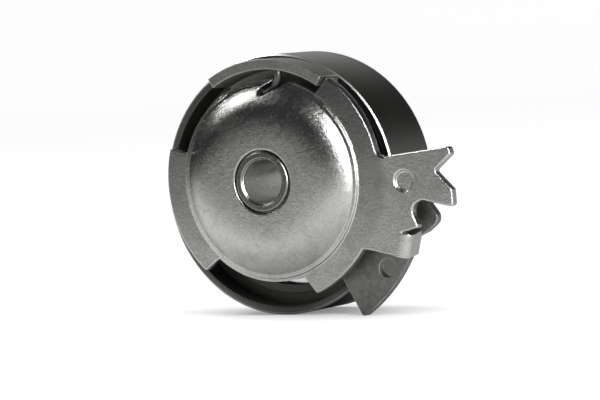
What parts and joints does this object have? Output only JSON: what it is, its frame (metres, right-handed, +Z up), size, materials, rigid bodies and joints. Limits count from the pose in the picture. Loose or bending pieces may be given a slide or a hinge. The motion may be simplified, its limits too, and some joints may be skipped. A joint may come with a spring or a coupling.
{
  "type": "belt tensioner idler",
  "caption": "Smooth idler pulley on a spring-loaded eccentric arm, with a domed base plate, forked pointer arm and a central bolt sleeve.",
  "frame": {"origin": "on the bolt bore's axis, level with the engine-side face of the base flange", "axes": "+Y along the bolt bore towards the bolt head, so the domed base plate faces -Y; +Z up with the pulley standing on its rim; +X towards the forked arm"},
  "size_m": [0.0791, 0.0346, 0.0601],
  "materials": {
    "zinc_sheet": "satin zinc-plated pressed sheet",
    "turned_steel": "turned steel, plated",
    "spring_steel": "oiled dark spring steel",
    "damper_plastic": "black moulded plastic",
    "friction_plastic": "tan friction material",
    "washer_steel": "ground",
    "dark_sheet": "matt heat-treated sheet",
    "hub_alloy": "turned",
    "bush_bronze": "bronze-backed plain bush",
    "bearing_steel": "ground",
    "pulley_steel": "smooth dark phosphated running face",
    "seal_rubber": "matt",
    "cage_steel": "pressed",
    "ball_steel": "polished"
  },
  "bodies": {
    "base": {"base_plate": "zinc_sheet", "mounting_sleeve": "turned_steel", "torsion_spring": "spring_steel", "spring_guide": "damper_plastic", "friction_washer": "friction_plastic", "thrust_washer": "washer_steel", "retaining_ring": "spring_steel"},
    "arm": {"arm_plate": "dark_sheet", "eccentric_hub": "hub_alloy", "plain_bush": "bush_bronze", "bearing_inner_ring": "bearing_steel", "hub_snap_ring": "spring_steel"},
    "pulley": {"pulley_shell": "pulley_steel", "bearing_outer_ring": "bearing_steel", "front_seal": "seal_rubber", "rear_seal": "seal_rubber", "bore_snap_ring": "spring_steel"},
    "ball_set": {"bearing_cage": "cage_steel", "ball_01": "ball_steel", "ball_02": "ball_steel", "ball_03": "ball_steel", "ball_04": "ball_steel", "ball_05": "ball_steel", "ball_06": "ball_steel", "ball_07": "ball_steel", "ball_08": "ball_steel", "ball_09": "ball_steel", "ball_10": "ball_steel", "ball_11": "ball_steel", "ball_12": "ball_steel", "ball_13": "ball_steel", "ball_14": "ball_steel"}
  },
  "joints": [
    {"name": "arm_swing", "type": "hinge", "parent": "base", "child": "arm", "pos_m": [0, 0.0165, 0], "axis": [0, -1, 0], "range_deg": [0, 40], "stiffness_Nm_per_rad": 0.35, "springref_deg": -45.84},
    {"name": "pulley_spin", "type": "hinge", "parent": "arm", "child": "pulley", "pos_m": [-0.0031, 0.0205, -0.00148], "axis": [0, -1, 0], "continuous": true},
    {"name": "cage_spin", "type": "hinge", "parent": "arm", "child": "ball_set", "pos_m": [-0.0031, 0.0205, -0.00148], "axis": [0, -1, 0], "continuous": true}
  ],
  "couplings": [
    {"joint": "cage_spin", "follows": "pulley_spin", "ratio": 0.5618}
  ]
}
